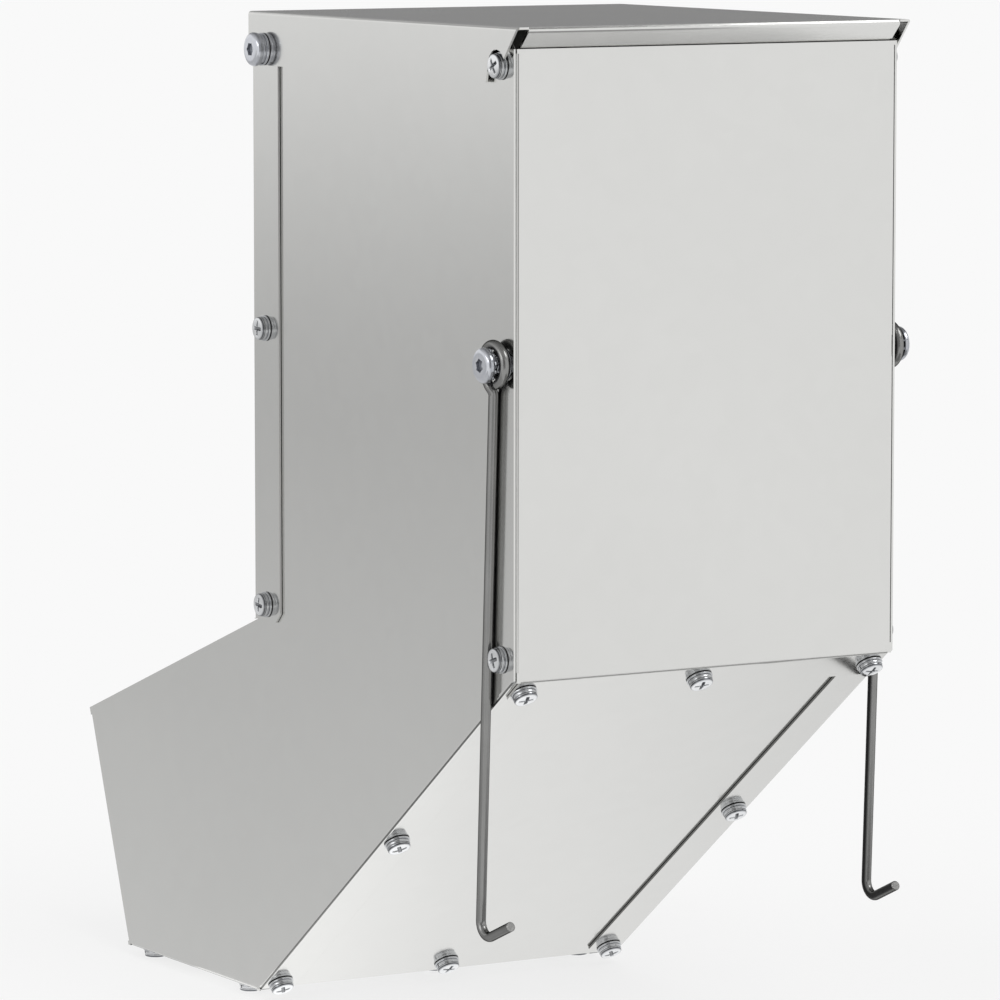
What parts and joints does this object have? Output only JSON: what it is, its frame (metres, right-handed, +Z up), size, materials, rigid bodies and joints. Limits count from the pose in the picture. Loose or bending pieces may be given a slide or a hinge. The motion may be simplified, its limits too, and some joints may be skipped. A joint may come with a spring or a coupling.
{
  "type": "rabbit feeder",
  "caption": "Galvanised sheet-metal rabbit feeder: a hopper with a hinged lid hangs outside a cage on two wire hooks, and its slanted chute feeds a divided trough inside.",
  "frame": {"origin": "where the hopper's flat front face meets the cage wall, midway across and level with the pivots of the two hooks", "axes": "+Z up, +Y away from the cage, square to the hopper's front and back, +X across, towards the feeder's left side as seen from behind it"},
  "size_m": [0.1746, 0.3346, 0.3692],
  "materials": {
    "galvanised_sheet": "smooth bright galvanised sheet",
    "zinc_plated_steel": "bright zinc plating",
    "steel_wire": "dark drawn wire"
  },
  "bodies": {
    "hopper": {"side_panel_left": "galvanised_sheet", "side_panel_right": "galvanised_sheet", "back_panel": "galvanised_sheet", "hopper_front": "galvanised_sheet", "chute_panel": "galvanised_sheet", "trough_pan": "galvanised_sheet", "trough_divider": "galvanised_sheet", "side_screw_left_rear_top": "zinc_plated_steel", "side_screw_left_rear_low": "zinc_plated_steel", "side_screw_left_front_mid": "zinc_plated_steel", "side_screw_left_front_low": "zinc_plated_steel", "side_screw_right_rear_top": "zinc_plated_steel", "side_screw_right_rear_low": "zinc_plated_steel", "side_screw_right_front_mid": "zinc_plated_steel", "side_screw_right_front_low": "zinc_plated_steel", "chute_screw_left_top": "zinc_plated_steel", "chute_screw_left_mid": "zinc_plated_steel", "chute_screw_left_low": "zinc_plated_steel", "chute_screw_right_top": "zinc_plated_steel", "chute_screw_right_mid": "zinc_plated_steel", "chute_screw_right_low": "zinc_plated_steel", "chute_screw_centre_top": "zinc_plated_steel", "chute_screw_centre_low": "zinc_plated_steel", "floor_screw_left_front": "zinc_plated_steel", "floor_screw_left_rear": "zinc_plated_steel", "floor_screw_right_front": "zinc_plated_steel", "floor_screw_right_rear": "zinc_plated_steel", "wall_screw_left": "zinc_plated_steel", "wall_screw_right": "zinc_plated_steel", "divider_screw_front": "zinc_plated_steel", "divider_screw_rear": "zinc_plated_steel", "lid_bolt_left": "zinc_plated_steel", "lid_washer_left": "zinc_plated_steel", "lid_lock_washer_left": "zinc_plated_steel", "lid_nut_left": "zinc_plated_steel", "lid_bolt_right": "zinc_plated_steel", "lid_washer_right": "zinc_plated_steel", "lid_lock_washer_right": "zinc_plated_steel", "lid_nut_right": "zinc_plated_steel", "hook_bolt_left": "zinc_plated_steel", "hook_spacer_left": "zinc_plated_steel", "hook_washer_left": "zinc_plated_steel", "hook_nut_left": "zinc_plated_steel", "hook_bolt_right": "zinc_plated_steel", "hook_spacer_right": "zinc_plated_steel", "hook_washer_right": "zinc_plated_steel", "hook_nut_right": "zinc_plated_steel"},
    "lid": {"lid": "galvanised_sheet"},
    "hook_left": {"hook_left": "steel_wire"},
    "hook_right": {"hook_right": "steel_wire"}
  },
  "joints": [
    {"name": "lid_hinge", "type": "hinge", "parent": "hopper", "child": "lid", "pos_m": [0, 0.0105, 0.1025], "axis": [1, 0, 0], "range_deg": [0, 98]},
    {"name": "hook_left_swing", "type": "hinge", "parent": "hopper", "child": "hook_left", "pos_m": [0.08155, 0.1802, 0], "axis": [0.9996, 0.0279, 0], "range_deg": [-110, 0]},
    {"name": "hook_right_swing", "type": "hinge", "parent": "hopper", "child": "hook_right", "pos_m": [-0.08155, 0.1802, 0], "axis": [0.9996, -0.0279, 0], "range_deg": [-110, 0]}
  ]
}
